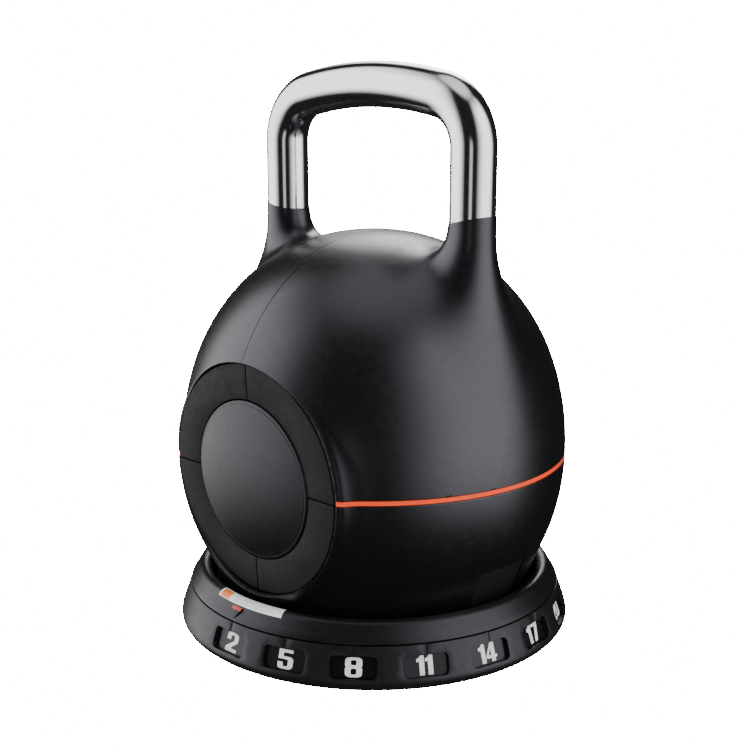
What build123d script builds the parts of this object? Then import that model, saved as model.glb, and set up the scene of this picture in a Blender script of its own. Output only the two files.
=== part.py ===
from build123d import *
from math import cos, degrees, radians, sin, sqrt
import os

# Adjustable kettlebell standing on its selector base. Millimetres, +Z up.
# The origin is on the floor under the centre. The front, with its pointer and medallion, faces -Y.
# The two handle legs stand on the X axis.

# ---- ball ----
band_height = 112.0  # height of the accent band, where the ball is widest
ball_radius = 119.5
dome_rise = 135.0  # band to the crown
dome_power = 2.12  # a little squarer than an ellipse, which is 2
bowl_drop = 130.0  # half height of the bowl's ellipse below the band
shell_wall = 4.0
shell_gap = 0.1  # half the parting line between two shells
skirt_top = 42.0
skirt_bottom = 19.5
skirt_low_radius = 97.5
upper_shell_start = 113.9
lower_shell_end = 110.5
band_low, band_high = 110.6, 113.3
band_outer, band_inner = 118.2, 115.6
tongue_radius, tongue_inner = 115.1, 112.0  # the lower shell's tongue, which registers inside the upper shells

# ---- handle ----
leg_x = 77.5
tube_radius, tube_bore = 13.25, 10.0
handle_top = 344.5
corner_radius = 30.0
arch_radius = 260.0
collar_height = 257.7
collar_slant = 12.0  # degrees, outer side higher
horn_radius = 13.6
horn_root_radius = 17.0
horn_fillet = 16.0
sleeve_start, sleeve_end = 165.0, 225.0
rod_hole = 10.4  # the shell's bore round each leg rod
rod_radius, rod_start, rod_end = 9.95, 144.0, 285.0

# ---- medallions, front and back ----
disc_height = 110.7
disc_radius, disc_inner, disc_face = 68.4, 47.9, 99.6
disc_thickness, disc_tilt, disc_gap = 3.2, 2.2, 0.35
cap_radius, cap_rise, cap_edge = 47.2, 5.5, 98.9
pocket_radius, pocket_face, cup_radius, cup_back = 69.8, 93.2, 72.2, 91.4
lip_face = 98.2  # the shell's lip round a medallion stands this far out

# ---- plates and selector ----
plate_count = 6
plate_radius, plate_thickness, plate_pitch = 90.5, 15.7, 16.0
stack_floor = 22.0
plate_bore, keyway_radius = 16.0, 26.5
keyway_half_angle = 62.0
pocket_depth = 6.0
dial_step = 19.6
shaft_radius, lug_radius, lug_thickness, lug_angle = 14.5, 25.5, 4.0, 14.0
lug_clearance_angle = 8.0
notch_width, notch_depth = 8.0, 5.5

# ---- base ----
ring_inner, ring_top, ring_foot = 113.5, 27.2, 1.2
ring_slope = 20.0  # degrees, number face from the vertical
window_width, window_height, window_corner = 27.0, 13.2, 3.0
window_depth, number_thickness = 3.5, 1.4
window_radius, window_level = 121.7, 16.0
base_radius, base_under, base_top = 111.3, 2.0, 5.0
post_radius = 8.0
pillar_angles = (75.2, 107.2, 255.2, 287.2)
pillar_ring, pillar_radius, pillar_pilot = 70.0, 6.0, 2.1
bar_angle = 60.0
bar_low, bar_high, bar_width, bar_length = 8.0, 13.5, 18.0, 226.0
bar_screw_ring = 110.3
hub_radius, hub_top, hex_across = 17.0, 21.0, 20.0
crest_radius, crest_x, crest_z = 4.8, 107.84, 34.63
tray_slope = 32.3  # degrees, outer slope of the tray above the horizontal
detent_angle, detent_level = 91.2, 10.9

os.makedirs("parts", exist_ok=True)


def save(piece, name):
    piece.part.label = name
    export_step(piece.part, f"parts/{name}.step")


def superellipse(radius, rise, angle):
    """A point of the dome's outline, from 0 degrees at the band to 90 at the crown."""
    across = cos(radians(angle)) ** (2 / dome_power)
    up = sin(radians(angle)) ** (2 / dome_power)
    return radius * across, band_height + rise * up


def bowl_radius(inset, z):
    """Radius of the bowl below the band, moved in by inset."""
    return (ball_radius - inset) * sqrt(1 - ((band_height - z) / (bowl_drop - inset)) ** 2)


def ball_solid(inset):
    """The whole ball with its skirt as one solid, moved in by inset."""
    radius = ball_radius - inset
    dome = [superellipse(radius, dome_rise - inset, angle) for angle in (0, 9, 20, 32, 45, 58, 70, 81)]
    dome.append((0, band_height + dome_rise - inset))
    levels = (skirt_top, 55, 70, 85, 99, band_height)
    bowl = [(bowl_radius(inset, z), z) for z in levels]
    with BuildPart() as ball:
        with BuildSketch(Plane.XZ):
            with BuildLine():
                Polyline((0, skirt_bottom), (skirt_low_radius - inset, skirt_bottom), bowl[0])
                Spline(*bowl, tangents=((0.55, 0.835), (0, 1)))
                Spline(*dome, tangents=((0, 1), (-1, 0)))
                Line((0, band_height + dome_rise - inset), (0, skirt_bottom))
            make_face()
        revolve(axis=Axis.Z)
    return ball.part


def collar_plane(side):
    lean = radians(collar_slant)
    return Plane(origin=(side * leg_x, 0, collar_height), z_dir=(-side * sin(lean), 0, cos(lean)))


ball_outside = ball_solid(0)
ball_inside = ball_solid(shell_wall)

# Right horn, the shell's socket for one handle leg, cut off along the slanted collar.
with BuildPart() as horn:
    with BuildSketch(Plane.XZ):
        with BuildLine():
            Polyline(
                (leg_x, sleeve_start), (leg_x + horn_radius, sleeve_start), (leg_x + horn_radius, 180),
                (leg_x + horn_root_radius, 195), (leg_x + horn_radius + 0.6, 235),
                (leg_x + horn_radius, 275), (leg_x, 275), close=True,
            )
        make_face()
    revolve(axis=Axis((leg_x, 0, 0), (0, 0, 1)))
    split(bisect_by=collar_plane(1), keep=Keep.BOTTOM)

with BuildPart() as dome_with_horns:
    add(ball_outside)
    add(horn.part)
    add(horn.part.mirror(Plane.YZ))
    horn_roots = dome_with_horns.edges().filter_by(GeomType.BSPLINE).filter_by(
        lambda edge: abs(edge.center().X) > 50 and edge.center().Z > sleeve_start)
    fillet(horn_roots, horn_fillet)

# Cup with a low lip round each medallion, and the recess inside it.
with BuildPart() as cups:
    with BuildSketch(Plane.XZ.offset(cup_back)):
        with Locations((0, disc_height)):
            Circle(cup_radius)
    extrude(amount=lip_face - cup_back)
    mirror(about=Plane.XZ)

with BuildPart() as ball_with_lips:
    add(ball_outside)
    add(cups.part)

with BuildPart() as recesses:
    with BuildSketch(Plane.XZ.offset(pocket_face)):
        with Locations((0, disc_height)):
            Circle(pocket_radius)
    extrude(amount=40)
    mirror(about=Plane.XZ)

with BuildPart() as leg_bores:
    with Locations((leg_x, 0, 220), (-leg_x, 0, 220)):
        Cylinder(rod_hole, 200)

# Hollow shell before it is parted: wall, horns with their sleeves, and cups.
with BuildPart() as whole_shell:
    add(dome_with_horns.part)
    add(ball_inside, mode=Mode.SUBTRACT)
    with Locations((leg_x, 0, (sleeve_start + sleeve_end) / 2), (-leg_x, 0, (sleeve_start + sleeve_end) / 2)):
        Cylinder(horn_radius, sleeve_end - sleeve_start)
    add(cups.part)
    add(recesses.part, mode=Mode.SUBTRACT)
    add(leg_bores.part, mode=Mode.SUBTRACT)

boss_ring, boss_radius, pilot_radius = 109.0, 6.4, 2.15
boss_places = PolarLocations(boss_ring, 4, start_angle=45)
upper_boss_start, upper_boss_length, lower_boss_start = 117.5, 16.5, 92.0

with BuildPart() as upper_half:
    add(whole_shell.part)
    split(bisect_by=Plane.XY.offset(upper_shell_start), keep=Keep.TOP)
    with BuildSketch(Plane.XY.offset(upper_boss_start)):
        with boss_places:
            Circle(boss_radius)
    extrude(amount=upper_boss_length)
    with BuildSketch(Plane.XY.offset(upper_boss_start)):
        with boss_places:
            Circle(pilot_radius)
    extrude(amount=12, mode=Mode.SUBTRACT)

with BuildPart() as upper_shell_right:
    add(upper_half.part)
    split(bisect_by=Plane.YZ.offset(shell_gap), keep=Keep.TOP)
save(upper_shell_right, "upper_shell_right")

with BuildPart() as upper_shell_left:
    add(upper_half.part)
    split(bisect_by=Plane.YZ.offset(-shell_gap), keep=Keep.BOTTOM)
save(upper_shell_left, "upper_shell_left")

rib_centre, rib_depth, rib_width, rib_height = 101.5, 27.0, 6.0, 82.0
skirt_window_x, skirt_window_z = 8.7, 32.0

# Lower shell: bowl and skirt, tongue behind the band, screw bosses, plate ribs, windows and notches.
with BuildPart() as lower_shell:
    add(whole_shell.part)
    split(bisect_by=Plane.XY.offset(lower_shell_end), keep=Keep.BOTTOM)
    for start, end, radius in ((100, 110.4, band_inner), (110.4, 117, tongue_radius)):
        with BuildSketch(Plane.XY.offset(start)):
            Circle(radius)
            Circle(tongue_inner, mode=Mode.SUBTRACT)
            Rectangle(2 * ball_radius, 2 * cup_back - 0.4, mode=Mode.INTERSECT)
        extrude(amount=end - start)
    with BuildSketch(Plane.XY.offset(lower_boss_start)):
        with boss_places:
            Circle(boss_radius)
    extrude(amount=upper_boss_start - lower_boss_start - 0.5)
    with Locations((rib_centre, 0, 67), (-rib_centre, 0, 67)):
        Box(rib_depth, rib_width, rib_height)
    with BuildSketch(Plane.XY.offset(lower_boss_start - 2)):
        with boss_places:
            Circle(pilot_radius)
    extrude(amount=30, mode=Mode.SUBTRACT)
    add(recesses.part, mode=Mode.SUBTRACT)
    with BuildSketch(Plane.XZ.offset(88)):
        with Locations((-skirt_window_x, skirt_window_z), (skirt_window_x, skirt_window_z)):
            RectangleRounded(13.5, 10.5, 2.2)
    extrude(amount=20, mode=Mode.SUBTRACT)
    with Locations((97, 0, skirt_bottom), (-97, 0, skirt_bottom)):
        Box(12, 9.2, 11, mode=Mode.SUBTRACT)
    split(bisect_by=Plane.XY.offset(skirt_bottom), keep=Keep.TOP)
    add(ball_with_lips.part, mode=Mode.INTERSECT)
save(lower_shell, "lower_shell")

# Accent band in its groove, one arc each side of the medallions.
with BuildPart() as band_ring:
    with BuildSketch(Plane.XY.offset(band_low)):
        Circle(band_outer)
        Circle(band_inner, mode=Mode.SUBTRACT)
    extrude(amount=band_high - band_low)
    add(recesses.part, mode=Mode.SUBTRACT)
for name, keep in (("accent_band_right", Keep.TOP), ("accent_band_left", Keep.BOTTOM)):
    with BuildPart() as band:
        add(band_ring.part)
        split(bisect_by=Plane.YZ, keep=keep)
    save(band, name)

# Handle: a chromed tube bent round two corners and a shallow arch, on two steel leg rods.
arch_centre = handle_top - tube_radius - arch_radius
corner_centre = (leg_x - corner_radius, arch_centre + sqrt(
    (arch_radius - corner_radius) ** 2 - (leg_x - corner_radius) ** 2))
reach = arch_radius / (arch_radius - corner_radius)
arch_end = (corner_centre[0] * reach, arch_centre + (corner_centre[1] - arch_centre) * reach)
with BuildPart() as handle_tube:
    with BuildLine(Plane.XZ) as tube_path:
        Line((-leg_x, 245), (-leg_x, corner_centre[1]))
        TangentArc((-leg_x, corner_centre[1]), (-arch_end[0], arch_end[1]), tangent=(0, 1))
        ThreePointArc((-arch_end[0], arch_end[1]), (0, arch_centre + arch_radius), arch_end)
        TangentArc((leg_x, corner_centre[1]), arch_end, tangent=(0, 1))
        Line((leg_x, corner_centre[1]), (leg_x, 245))
    with BuildSketch(Plane.XY.offset(245)):
        with Locations((-leg_x, 0)):
            Circle(tube_radius)
            Circle(tube_bore, mode=Mode.SUBTRACT)
    sweep(path=tube_path.wires()[0])
    split(bisect_by=collar_plane(1), keep=Keep.TOP)
    split(bisect_by=collar_plane(-1), keep=Keep.TOP)
save(handle_tube, "handle_tube")

for name, side in (("leg_rod_left", -1), ("leg_rod_right", 1)):
    with BuildPart() as leg_rod:
        with BuildSketch(Plane.XY.offset(rod_start)):
            with Locations((side * leg_x, 0)):
                Circle(rod_radius)
        extrude(amount=rod_end - rod_start)
        chamfer(leg_rod.faces().sort_by(Axis.Z)[-1].edges(), 1.5)
        with BuildSketch(Plane.XY.offset(rod_start)):
            with Locations((side * leg_x, 0)):
                Circle(4.05)
        extrude(amount=24, mode=Mode.SUBTRACT)
    save(leg_rod, name)

clamp_radius, clamp_height = 17.0, 5.8
for name, side in (("clamp_collar_left", -1), ("clamp_collar_right", 1)):
    with BuildPart() as clamp_collar:
        with BuildSketch(Plane.XY.offset(sleeve_start - clamp_height - 0.2)):
            with Locations((side * leg_x, 0)):
                RegularPolygon(clamp_radius, 6)
                Circle(rod_radius + 0.05, mode=Mode.SUBTRACT)
        extrude(amount=clamp_height)
    save(clamp_collar, name)

# Yoke across the ball: it joins the legs and carries the selector's upper bearing.
yoke_low, yoke_high = 138.0, 144.0
with BuildPart() as handle_yoke:
    with BuildSketch(Plane.XY.offset(yoke_low)):
        SlotOverall(2 * leg_x + 26, 36)
        Circle(13, mode=Mode.SUBTRACT)
        with Locations((leg_x, 0), (-leg_x, 0)):
            Circle(4.1, mode=Mode.SUBTRACT)
    extrude(amount=yoke_high - yoke_low)
save(handle_yoke, "handle_yoke")

with BuildPart() as yoke_bolts:
    with BuildSketch(Plane.XY.offset(yoke_low - 5)):
        with Locations((leg_x, 0), (-leg_x, 0)):
            RegularPolygon(7.5, 6)
    extrude(amount=5)
    with BuildSketch(Plane.XY.offset(yoke_low)):
        with Locations((leg_x, 0), (-leg_x, 0)):
            Circle(4)
    extrude(amount=26)
save(yoke_bolts, "yoke_bolts")

with BuildPart() as shaft_bush:
    with BuildSketch(Plane.XZ):
        with BuildLine():
            Polyline((10.05, 136.7), (15, 136.7), (15, 137.9), (12.98, 137.9), (12.98, 145.4), (10.05, 145.4),
                     close=True)
        make_face()
    revolve(axis=Axis.Z)
save(shaft_bush, "shaft_bush")

with BuildPart() as shell_screws:
    with BuildSketch(Plane.XY.offset(89)):
        with boss_places:
            Circle(3.5)
    extrude(amount=3)
    with BuildSketch(Plane.XY.offset(92)):
        with boss_places:
            Circle(2)
    extrude(amount=36)
save(shell_screws, "shell_screws")


def medallion_plane(facing):
    """The plane of a medallion's face, leaning a little towards the floor."""
    lean = radians(disc_tilt)
    return Plane(origin=(0, -facing * disc_face, disc_height), x_dir=(facing, 0, 0),
                 z_dir=(0, -facing * cos(lean), -sin(lean)))


def quarter_arc(radius, start):
    """A quarter of a medallion ring's edge, short of its neighbours by half the seam at each end."""
    inset = degrees(disc_gap / radius)
    angles = [radians(a) for a in (start + inset, start + 45, start + 90 - inset)]
    return ThreePointArc(*[(radius * cos(a), radius * sin(a)) for a in angles])


quarters = (("upper_right", 0), ("upper_left", 90), ("lower_left", 180), ("lower_right", 270))
for place, facing in (("front", 1), ("back", -1)):
    face = medallion_plane(facing)
    for quarter, start in quarters:
        with BuildPart() as segment:
            with BuildSketch(face):
                with BuildLine():
                    outer = quarter_arc(disc_radius, start)
                    inner = quarter_arc(disc_inner, start)
                    Line(outer @ 0, inner @ 0)
                    Line(outer @ 1, inner @ 1)
                make_face()
            extrude(amount=-disc_thickness)
        save(segment, f"{place}_ring_{quarter}")
    with BuildPart() as cap:
        cap_sphere = (cap_radius ** 2 + cap_rise ** 2) / (2 * cap_rise)
        with BuildSketch(Plane.XZ):
            with BuildLine():
                Polyline((0, cap_rise), (0, -3.2), (cap_radius - 1.5, -3.2), (cap_radius, -2), (cap_radius, 0))
                RadiusArc((0, cap_rise), (cap_radius, 0), cap_sphere)
            make_face()
        revolve(axis=Axis.Z)
    cap.part = face.offset(cap_edge - disc_face).location * cap.part
    save(cap, f"{place}_cap")

# Weight plates, from 1 under the crown to 6 on the tray. The keyways let the selector's lugs through.
with BuildPart() as plate_blank:
    with BuildSketch():
        Circle(plate_radius)
        Circle(plate_bore, mode=Mode.SUBTRACT)
        with Locations((plate_radius, 0), (-plate_radius, 0)):
            Rectangle(2 * notch_depth, notch_width, mode=Mode.SUBTRACT)
    extrude(amount=plate_thickness)
    for middle in (0, 180):
        with BuildSketch():
            with BuildLine():
                ends = [middle + a for a in (-keyway_half_angle, 0, keyway_half_angle)]
                arc = ThreePointArc(*[(keyway_radius * cos(radians(a)), keyway_radius * sin(radians(a)))
                                      for a in ends])
                Polyline(arc @ 0, (0, 0), arc @ 1)
            make_face()
        extrude(amount=plate_thickness, mode=Mode.SUBTRACT)
    with BuildSketch():
        Circle(keyway_radius)
    extrude(amount=pocket_depth, mode=Mode.SUBTRACT)
    rims = plate_blank.edges().filter_by(GeomType.CIRCLE).filter_by(
        lambda edge: abs(edge.radius - plate_radius) < 0.01)
    chamfer(rims, 1.2)
for number in range(1, plate_count + 1):
    with BuildPart() as plate:
        add(plate_blank.part.moved(Location((0, 0, stack_floor + (plate_count - number) * plate_pitch))))
    save(plate, f"weight_plate_{number}")

# Selector shaft: one pair of lugs under each plate, each pair a dial step behind the one below.
with BuildPart() as selector_shaft:
    with BuildSketch(Plane.XY.offset(15)):
        RegularPolygon((hex_across - 0.6) / 2, 6, major_radius=False)
    extrude(amount=8.5)
    with BuildSketch(Plane.XY.offset(22.5)):
        Circle(shaft_radius)
    extrude(amount=114)
    with BuildSketch(Plane.XY.offset(136.5)):
        Circle(10)
    extrude(amount=14)
    for number in range(1, plate_count + 1):
        lead = -keyway_half_angle + lug_clearance_angle + (number - 1) * dial_step
        level = stack_floor + (plate_count - number) * plate_pitch + 1
        for turn in (0, 180):
            with BuildSketch(Plane.XY.offset(level)):
                with BuildLine():
                    ends = [turn + lead + share * lug_angle for share in (0, 0.5, 1)]
                    arc = ThreePointArc(*[(lug_radius * cos(radians(a)), lug_radius * sin(radians(a)))
                                          for a in ends])
                    Polyline(arc @ 0, (0, 0), arc @ 1)
                make_face()
            extrude(amount=lug_thickness)
    with BuildSketch(Plane.XY.offset(146)):
        Circle(11)
        Circle(9.2, mode=Mode.SUBTRACT)
    extrude(amount=1.7, mode=Mode.SUBTRACT)
save(selector_shaft, "selector_shaft")

with BuildPart() as shaft_clip:
    with BuildSketch(Plane.XY.offset(146.2)):
        Circle(12.8)
        Circle(9.25, mode=Mode.SUBTRACT)
        with Locations((12, 0)):
            Rectangle(10, 7, mode=Mode.SUBTRACT)
    extrude(amount=1.3)
save(shaft_clip, "shaft_clip")


def window_plane(number, out):
    """The plane of a number window, out along its slope from the window's middle."""
    angle, lean = radians(-90 + number * dial_step), radians(ring_slope)
    outward = Vector(cos(angle) * cos(lean), sin(angle) * cos(lean), sin(lean))
    middle = Vector(window_radius * cos(angle), window_radius * sin(angle), window_level)
    return Plane(origin=middle + outward * out, x_dir=(-sin(angle), cos(angle), 0), z_dir=outward)


# Dial: number ring, its seven number plates, and the bar that drives the selector.
window_clearance, tick_width, tick_length = 4.0, 1.8, 9.0
with BuildPart() as dial_ring:
    with BuildSketch(Plane.XZ):
        with BuildLine():
            Line((ring_inner, ring_foot), (119, ring_foot))
            ThreePointArc((119, ring_foot), (122.7, 3.4), (124.1, 8))
            Polyline((124.1, 8), (123.5, 11), (117.6, ring_top), (ring_inner, ring_top), (ring_inner, 7.9),
                     (107, 7.9), (107, 5.6), (ring_inner, 5.6), (ring_inner, ring_foot))
        make_face()
    revolve(axis=Axis.Z)
    with BuildSketch(Plane.XY.offset(5.6)):
        with PolarLocations(bar_screw_ring, 2, start_angle=bar_angle):
            Circle(2.1)
    extrude(amount=3, mode=Mode.SUBTRACT)
    for number in range(plate_count + 1):
        with BuildSketch(window_plane(number, window_clearance)):
            RectangleRounded(window_width, window_height, window_corner)
        extrude(amount=-window_clearance - window_depth - number_thickness, mode=Mode.SUBTRACT)
        with BuildSketch(window_plane(number, -0.5)):
            with Locations((0, tick_length)):
                Rectangle(tick_width, tick_length)
        extrude(amount=6, mode=Mode.SUBTRACT)
    for number in range(plate_count + 1):
        angle = radians(detent_angle + number * dial_step)
        with Locations((ring_inner * cos(angle), ring_inner * sin(angle), detent_level)):
            Sphere(2.6, mode=Mode.SUBTRACT)
save(dial_ring, "dial_ring")

for number in range(plate_count + 1):
    with BuildPart() as number_plate:
        with BuildSketch(window_plane(number, -window_depth)):
            RectangleRounded(window_width - 0.2, window_height - 0.2, window_corner - 0.1)
        extrude(amount=-number_thickness)
    save(number_plate, f"number_plate_{2 + 3 * number}")

with BuildPart() as drive_bar:
    with BuildSketch(Plane.XY.offset(bar_low)):
        with Locations(Rotation(0, 0, bar_angle)):
            SlotOverall(bar_length, bar_width)
        with PolarLocations(bar_screw_ring, 2, start_angle=bar_angle):
            Circle(2.05, mode=Mode.SUBTRACT)
    extrude(amount=bar_high - bar_low)
    with BuildSketch(Plane.XY.offset(bar_low)):
        Circle(hub_radius)
    extrude(amount=hub_top - bar_low)
    with BuildSketch(Plane.XY.offset(bar_low)):
        Circle(11)
    extrude(amount=6, mode=Mode.SUBTRACT)
    with BuildSketch(Plane.XY.offset(bar_low)):
        RegularPolygon(hex_across / 2, 6, major_radius=False)
    extrude(amount=hub_top - bar_low, mode=Mode.SUBTRACT)
save(drive_bar, "drive_bar")

with BuildPart() as hub_bush:
    with BuildSketch(Plane.XY.offset(bar_low)):
        Circle(10.98)
        Circle(post_radius + 0.05, mode=Mode.SUBTRACT)
    extrude(amount=5.9)
save(hub_bush, "hub_bush")

with BuildPart() as dial_screws:
    with BuildSketch(Plane.XY.offset(5.7)):
        with PolarLocations(bar_screw_ring, 2, start_angle=bar_angle):
            Circle(2)
    extrude(amount=7.6)
save(dial_screws, "dial_screws")

# Base: floor plate with the dial's post and four pillars, and the tray that the kettlebell stands in.
pillar_places = [Location((pillar_ring * cos(radians(a)), pillar_ring * sin(radians(a)), 0))
                 for a in pillar_angles]
with BuildPart() as base_plate:
    with BuildSketch(Plane.XY.offset(base_under)):
        Circle(base_radius)
    extrude(amount=base_top - base_under)
    with BuildSketch(Plane.XY.offset(base_top)):
        Circle(post_radius)
    extrude(amount=8.4)
    with BuildSketch(Plane.XY.offset(base_top)):
        with Locations(*pillar_places):
            Circle(pillar_radius)
    extrude(amount=13)
    with BuildSketch(Plane.XY.offset(base_top)):
        with Locations(Rotation(0, 0, detent_angle) * Location((96, 0, 0))):
            Rectangle(20, 12)
    extrude(amount=9.4)
    with BuildSketch(Plane.XY.offset(base_under)):
        with Locations(*pillar_places):
            Circle(4)
    extrude(amount=2.4, mode=Mode.SUBTRACT)
    with BuildSketch(Plane.XY.offset(base_under)):
        with Locations(*pillar_places):
            Circle(pillar_pilot)
    extrude(amount=16, mode=Mode.SUBTRACT)
    detent_plane = Plane(
        origin=(88.5 * cos(radians(detent_angle)), 88.5 * sin(radians(detent_angle)), detent_level),
        z_dir=(cos(radians(detent_angle)), sin(radians(detent_angle)), 0))
    with BuildSketch(detent_plane):
        Circle(2.55)
    extrude(amount=20, mode=Mode.SUBTRACT)
save(base_plate, "base_plate")

with BuildPart() as base_tray:
    with BuildSketch(Plane.XZ):
        with BuildLine():
            slope = radians(tray_slope)
            shoulder = (crest_x + crest_radius * cos(slope), crest_z + crest_radius * sin(slope))
            inner_edge = (crest_x - crest_radius * cos(radians(14)), crest_z + crest_radius * sin(radians(14)))
            Line((117.6, 28.2), shoulder)
            ThreePointArc(shoulder, (crest_x, crest_z + crest_radius), inner_edge)
            Spline(inner_edge, (101.3, 28), (99.6, 20.5), tangents=((-0.4, -1), (-0.1, -1)))
            Polyline((99.6, 20.5), (99, 19), (92.3, 19), (92.3, 22), (18, 22), (18, 18), (88.5, 18),
                     (88.5, 15.2), (101.5, 15.2), (109.5, 33), (114.2, 28.2), (117.6, 28.2))
        make_face()
    revolve(axis=Axis.Z)
    with BuildSketch(Plane.XY.offset(18.5)):
        with Locations((95.7, 0), (-95.7, 0)):
            Rectangle(5.6, 8)
    extrude(amount=5)
    with BuildSketch(Plane.XY.offset(18)):
        with Locations(*pillar_places):
            Circle(2.05)
    extrude(amount=2.4, mode=Mode.SUBTRACT)
save(base_tray, "base_tray")

with BuildPart() as base_screws:
    with BuildSketch(Plane.XY.offset(2.3)):
        with Locations(*pillar_places):
            Circle(3.7)
    extrude(amount=2.1)
    with BuildSketch(Plane.XY.offset(2.3)):
        with Locations(*pillar_places):
            Circle(2)
    extrude(amount=17.7)
save(base_screws, "base_screws")

with BuildPart() as rubber_feet:
    with BuildSketch():
        with PolarLocations(98, 6, start_angle=30):
            Circle(9)
    extrude(amount=base_under)
    chamfer(rubber_feet.faces().sort_by(Axis.Z)[0:6].edges(), 0.6)
save(rubber_feet, "rubber_feet")

with BuildPart() as glide_ring:
    with BuildSketch(Plane.XY.offset(base_top)):
        Circle(110.8)
        Circle(107.6, mode=Mode.SUBTRACT)
    extrude(amount=0.5)
save(glide_ring, "glide_ring")

# Pointer on the tray's outer slope, above the chosen number.
with BuildPart() as pointer_arrow:
    slope_out = Vector(0, -cos(radians(tray_slope)), sin(radians(tray_slope)))
    slope_middle = Vector(0, -113.7, 34.33)
    with BuildSketch(Plane(origin=slope_middle + slope_out * 0.75, x_dir=(1, 0, 0), z_dir=slope_out)):
        with BuildLine():
            Polyline((-4.2, 2.6), (4.2, 2.6), (0, -4.6), close=True)
        make_face()
    extrude(amount=-2.2)
    add(base_tray.part, mode=Mode.SUBTRACT)
save(pointer_arrow, "pointer_arrow")

sticker_start, sticker_arc = -103.0, 29.5  # degrees round the base
with BuildPart() as notice_sticker:
    with BuildSketch(Plane.XZ):
        with BuildLine():
            near, far = crest_radius + 0.05, crest_radius + 0.35
            arcs = []
            for radius in (near, far):
                points = [(crest_x + radius * cos(radians(a)), crest_z + radius * sin(radians(a)))
                          for a in (42, 77, 112)]
                arcs.append(ThreePointArc(*points))
            Line(arcs[0] @ 0, arcs[1] @ 0)
            Line(arcs[0] @ 1, arcs[1] @ 1)
        make_face()
    revolve(axis=Axis.Z, revolution_arc=sticker_arc)
notice_sticker.part = Rotation(0, 0, sticker_start) * notice_sticker.part
save(notice_sticker, "notice_sticker")

# Detent: a spring pushes the plunger into a hollow of the dial at each number.
with BuildPart() as detent_plunger:
    with BuildSketch(detent_plane.offset(14)):
        Circle(2.5)
    extrude(amount=8.3)
    with Locations(detent_plane.offset(22.3)):
        Sphere(2.5)
save(detent_plunger, "detent_plunger")

with BuildPart() as detent_spring:
    with BuildSketch(detent_plane.offset(1)):
        Circle(2.3)
        Circle(1.6, mode=Mode.SUBTRACT)
    extrude(amount=10.5)
save(detent_spring, "detent_spring")
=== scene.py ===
import math

import bmesh
import bpy
import numpy as np
from mathutils import Matrix, Vector


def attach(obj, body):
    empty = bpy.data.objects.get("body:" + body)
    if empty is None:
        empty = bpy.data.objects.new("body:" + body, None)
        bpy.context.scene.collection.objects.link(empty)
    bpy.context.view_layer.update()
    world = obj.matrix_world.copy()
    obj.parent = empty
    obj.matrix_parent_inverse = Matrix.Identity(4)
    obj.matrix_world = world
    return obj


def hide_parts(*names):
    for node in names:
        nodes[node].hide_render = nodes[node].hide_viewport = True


# Adjustable kettlebell on its selector base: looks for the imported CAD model.
# Shapes are worked out in millimetres and scaled by MM when they become meshes.

MM = 0.001
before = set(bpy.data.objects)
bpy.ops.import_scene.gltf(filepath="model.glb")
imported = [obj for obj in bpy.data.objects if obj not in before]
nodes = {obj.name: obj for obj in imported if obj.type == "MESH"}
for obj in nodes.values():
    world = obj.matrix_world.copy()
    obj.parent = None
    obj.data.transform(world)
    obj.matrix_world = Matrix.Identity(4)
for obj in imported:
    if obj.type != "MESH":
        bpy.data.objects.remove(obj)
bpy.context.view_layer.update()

# ------------------------------------------------------------------ sizes
BAND_Z = 112.0            # widest level of the ball
BALL_R = 119.5
DOME_RISE, DOME_POWER = 135.0, 2.12
BOWL_DROP, BOWL_FROM, BOWL_TO = 130.0, 42, 108
SKIRT_Z, SKIRT_R, SKIRT_IN = 19.5, 97.5, 1.6
SKIRT_SLOPE = 3.19 / 22.5
SKIRT_CUT = 60.0          # the skirt's cone is inside the bowl above this
SKIRT_BLEND = 5.0
SKIN_LOW, SKIN_HIGH = 8.0, 282.0      # the uncut skin is closed at these levels
LEG_X = 77.5
HORN_R, HORN_BLEND, HORN_FOOT, HORN_ROOT = 13.6, 28.0, 165.0, 150
HORN_NEAR_X, HORN_NEAR_Z = 45, 215      # the collar's cut reaches only what is beyond these
HORN_FLARE, FLARE_LOW, FLARE_HIGH = 4.0, 185.0, 257.0      # the horns widen a little on the way down
UPPER_START, LOWER_END = 113.9, 110.5
BAND_TOP, BAND_BOTTOM, BAND_INSET, BAND_DEPTH = 113.4, 110.6, 0.35, 1.6
WALL, SHELL_EDGE, SHELL_EDGE_ANGLE = 3.0, 0.3, 55.0
SEAM_HALF = 0.14
VOXEL = 3.0               # cell of the skin's first mesh
PROBE, FLATTEST, FARTHEST = 0.05, 0.05, 6.0      # gradient's step, its least square, longest move to the skin
STAY, FOLLOW = 0.4, 0.6   # how a vertex is evened out: its own place, and its neighbours' middle
COLLAR_Z, COLLAR_SLANT, COLLAR_GAP = 257.7, math.radians(12.0), 0.12
DISC_Z, DISC_FACE, DISC_TILT, DISC_REACH = 110.7, 99.6, math.radians(2.2), 25
LIP_R, LIP_BACK, LIP_ROUND, LIP_DEEP = 71.0, 2.6, 0.5, 30.0
LIP_BLEND_LOW, LIP_BLEND_HIGH = 10.0, 3.0      # the lip's blend at its foot and at its top
POCKET_R = 69.7
WINDOW_X, WINDOW_Z, WINDOW_W, WINDOW_H, WINDOW_CORNER = 8.7, 32.0, 13.5, 10.5, 2.2
PAD_W, PAD_LOW, PAD_HIGH, PAD_CORNER, PAD_SUNK, PAD_LAP = 41.0, 25.0, 60.0, 1.6, 1.0, 1.0
PAD_THICK, PAD_FROM_X = 1.4, 60
TUBE_R, TUBE_BORE, TUBE_EDGE = 13.25, 10.0, 0.25
HANDLE_TOP, CORNER_R, ARCH_R = 344.5, 30.0, 260.0
HANDLE_SUNK, HANDLE_GAP = 4, 0.05      # the path starts below the collar, and the tube ends above it
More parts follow.
